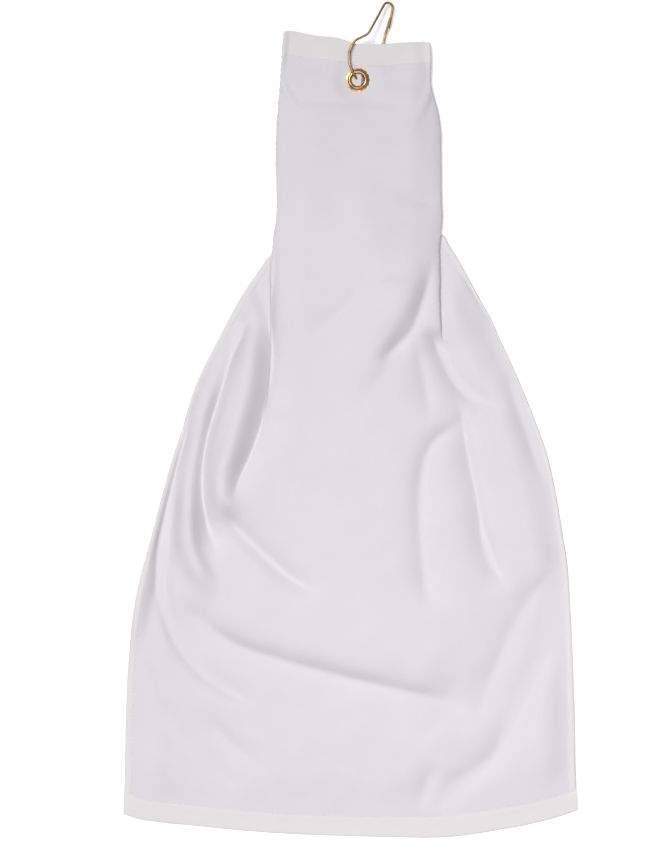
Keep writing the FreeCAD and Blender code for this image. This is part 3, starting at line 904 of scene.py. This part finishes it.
class TOWEL_OT_stitching(bpy.types.Operator):
    """Sew a row of stitches along each hem"""
    bl_idname = "towel.stitching"
    bl_label = "Stitching"

    def sew(self, name, lay, s, t, height, settings, material, node):
        """One stitch for each gap between places along the row, on the upper side."""
        points = lay.place(s, t) + lay.normal(s, t) * height
        shape = bmesh.new()
        for start, end in zip(points, points[1:]):
            run = Vector((end - start) * MM)
            middle = Vector((start + end) / 2.0 * MM)
            turn = run.to_track_quat("X", "Z").to_matrix().to_4x4()
            size = Matrix.Diagonal((run.length * 0.42, settings.thread / 2.0,
                                    settings.thread / 2.0, 1.0))
            bmesh.ops.create_icosphere(shape, subdivisions=1, radius=1.0,
                                       matrix=Matrix.Translation(middle) @ turn @ size)
        piece = as_object(name, shape)
        return finish_piece(piece, "towel", "thread", material, node)

    def execute(self, context):
        settings = context.scene.towel_hems
        lay = current_lay()
        thread = sewing_thread(settings)
        gap = settings.stitch / MM
        half = settings.thickness / MM / 2.0
        inset = 1.3
        across = spaced(-lay.half + 2.0, lay.half - 2.0, gap)
        down = spaced(TOP_HEM, lay.length - BOTTOM_HEM, gap)
        sides = lay.half - SIDE_HEM + inset
        level = half * 0.8 + 0.1
        rows = [
            ("top_stitches", across, np.full(across.shape, TOP_HEM - inset), level,
             "top_hem_stitching"),
            ("bottom_stitches", across, np.full(across.shape, lay.length - BOTTOM_HEM + inset),
             level, "bottom_hem_stitching"),
            ("left_stitches", np.full(down.shape, -sides), down, half * 1.08 + 0.1,
             "left_side_stitching"),
            ("right_stitches", np.full(down.shape, sides), down, half * 1.08 + 0.1,
             "right_side_stitching"),
        ]
        for name, s, t, height, node in rows:
            self.sew(name, lay, s, t, height, settings, thread, node)
        return {"FINISHED"}


class TOWEL_OT_grommet(bpy.types.Operator):
    """Set the eyelet with its rolled rim, and the toothed washer under it"""
    bl_idname = "towel.grommet"
    bl_label = "Grommet"

    def execute(self, context):
        settings = context.scene.towel_metal
        low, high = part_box("grommet_eyelet")
        centre = Vector(((low.x + high.x) / 2.0, (low.y + high.y) / 2.0, 0.0))
        crest = high.z / MM
        back = low.z / MM
        bore = 5.25
        sheet = 0.55
        curl = 1.7
        middle = bore + curl
        roll = crest - curl
        profile = [(bore, back + 1.2), (bore + 0.12, back + 0.5), (bore + 0.55, back + 0.1),
                   (bore + 1.2, back), (9.1, back), (9.4, back + 0.15), (9.4, back + 0.4),
                   (9.1, back + sheet), (bore + 1.3, back + sheet), (bore + sheet, back + 1.3),
                   (bore + sheet, roll)]
        inner = [(middle - (curl - sheet) * math.cos(a), roll + (curl - sheet) * math.sin(a))
                 for a in np.radians(np.arange(20.0, 181.0, 20.0))]
        outer = [(middle + curl * math.cos(a), roll + curl * math.sin(a))
                 for a in np.radians(np.arange(-25.0, 180.0, 12.0))]
        profile += inner + outer + [(bore, roll)]
        shape = turned_ring("grommet_rim", profile, centre)
        piece = as_object("grommet_rim", shape)
        metal = brass("grommet_brass", settings, 0.0)
        finish_piece(piece, "towel", "grommet_brass", metal, "grommet_eyelet")

        low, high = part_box("grommet_washer")
        seat = low.z / MM
        top = high.z / MM
        rim = 10.0
        profile = [(5.85, seat + 0.1), (rim - 0.25, seat - 0.05), (rim, seat + 0.1),
                   (rim - 0.05, seat + 0.34), (rim - 0.4, seat + 0.46), (8.6, seat + 0.62),
                   (8.2, top), (7.0, top), (5.85, top)]
        shape = turned_ring("grommet_teeth", profile, centre, 120)
        for vertex in shape.verts:
            out = vertex.co - centre
            reach = math.hypot(out.x, out.y) / MM
            wave = math.cos(15.0 * math.atan2(out.y, out.x))
            grow = 1.0 + 0.028 * wave * max(0.0, (reach - 8.6) / 1.4)
            vertex.co.x = centre.x + out.x * grow
            vertex.co.y = centre.y + out.y * grow
        piece = as_object("grommet_teeth", shape)
        finish_piece(piece, "towel", "grommet_brass", brass("washer_brass", settings, 0.6),
                     "grommet_washer")
        return {"FINISHED"}


class TOWEL_OT_hook(bpy.types.Operator):
    """Bend the hook from one wire, with its long leg as a sprung gate"""
    bl_idname = "towel.hook"
    bl_label = "Hook"

    def execute(self, context):
        settings = context.scene.towel_metal
        metal = brass("hook_brass", settings, 0.25)
        bow = bent_wire("hook_wire", FRAME_ROUTE, settings.wire)
        finish_piece(bow, "hook", "hook_brass", metal, "hook_frame")
        gate = bent_wire("gate_wire", GATE_ROUTE, settings.wire)
        gate.data.materials.append(metal)
        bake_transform(gate)
        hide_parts("hook_gate")
        return {"FINISHED"}


class TOWEL_OT_declare(bpy.types.Operator):
    """Do nothing: the towel is one sheet of cloth with its hems, but this step declares nothing"""
    bl_idname = "towel.declare"
    bl_label = "Declare the sheet"

    def execute(self, context):
        return {"FINISHED"}


class TOWEL_OT_stage(bpy.types.Operator):
    """Set up the floor, the soft light and the camera straight above"""
    bl_idname = "towel.stage"
    bl_label = "Stage"

    def execute(self, context):
        settings = context.scene.towel_stage
        scene = context.scene
        shape = bmesh.new()
        bmesh.ops.create_grid(shape, x_segments=1, y_segments=1, size=6.0)
        bmesh.ops.translate(shape, verts=shape.verts[:], vec=(0.0, 0.0, -0.0002))
        floor = as_object("floor", shape)
        paper = Finish("paper", roughness=0.9, emission_color=(1.0, 1.0, 1.0, 1.0),
                       emission_strength=0.15)
        paper.shader.inputs["Specular IOR Level"].default_value = 0.0
        grain = paper.noise(paper.node("ShaderNodeTexCoord", {}, {}, 3), 90.0)
        paper.colour(paper.between(grain, (0.95, 0.95, 0.955), (0.965, 0.965, 0.965)))
        floor.data.materials.append(paper.material)

        world = bpy.data.worlds.new("studio")
        sky = Nodes(world)
        direction = sky.node("ShaderNodeTexCoord", {}, {})
        upward = sky.node("ShaderNodeSeparateXYZ", {}, {0: direction}, 2)
        shades = [(0.15, (0.12, 0.12, 0.125)), (0.9, (1.0, 0.995, 1.0))]
        background = sky.tree.nodes["Background"]
        shade = sky.node("ShaderNodeValToRGB", {"stops": shades}, {0: upward})
        sky.feed(background.inputs["Color"], shade)
        sky.feed(background.inputs["Strength"], settings.sky)
        scene.world = world

        sun = bpy.data.lights.new("key", "SUN")
        sun.angle = math.radians(24.0)
        sun.energy = settings.key
        key = bpy.data.objects.new("key", sun)
        key.location = KEY_PLACE
        key.rotation_euler = (-key.location).to_track_quat("-Z", "Y").to_euler()
        scene.collection.objects.link(key)
        lamp = bpy.data.lights.new("fill", "AREA")
        lamp.shape = "DISK"
        lamp.size = 0.40
        lamp.energy = settings.fill
        fill = bpy.data.objects.new("fill", lamp)
        fill.location = FILL_PLACE
        scene.collection.objects.link(fill)

        lens = bpy.data.cameras.new("camera")
        lens.lens = 85.0
        lens.sensor_width = 36.0
        camera = bpy.data.objects.new("camera", lens)
        camera.location = (*CAMERA_PLACE, settings.camera_height)
        scene.collection.objects.link(camera)
        scene.camera = camera
        scene.view_settings.view_transform = "Standard"
        return {"FINISHED"}


class TOWEL_PT_panel(bpy.types.Panel):
    bl_label = "Golf Towel"
    bl_idname = "TOWEL_PT_panel"
    bl_space_type = "VIEW_3D"
    bl_region_type = "UI"
    bl_category = "Golf Towel"

    def draw(self, context):
        for name, kind in SETTINGS.items():
            box = self.layout.box()
            for prop in kind.__annotations__:
                box.prop(getattr(context.scene, name), prop)
        for maker in MAKERS:
            self.layout.operator(maker.bl_idname)


SETTINGS = {"towel_cloth": ClothSettings, "towel_hems": HemSettings, "towel_metal": MetalSettings,
            "towel_stage": StageSettings}
MAKERS = [TOWEL_OT_stage, TOWEL_OT_cloth, TOWEL_OT_hems, TOWEL_OT_stitching, TOWEL_OT_grommet,
          TOWEL_OT_hook, TOWEL_OT_declare]


def register():
    for kind in [*SETTINGS.values(), *MAKERS, TOWEL_PT_panel]:
        bpy.utils.register_class(kind)
    for name, kind in SETTINGS.items():
        setattr(bpy.types.Scene, name, PointerProperty(type=kind))


def unregister():
    for name in SETTINGS:
        delattr(bpy.types.Scene, name)
    for kind in [TOWEL_PT_panel, *MAKERS, *SETTINGS.values()]:
        bpy.utils.unregister_class(kind)


def main():
    register()
    bpy.ops.towel.stage()
    bpy.ops.towel.cloth()
    bpy.ops.towel.hems()
    bpy.ops.towel.stitching()
    bpy.ops.towel.grommet()
    bpy.ops.towel.hook()
    bpy.ops.towel.declare()


if __name__ == "__main__":
    main()
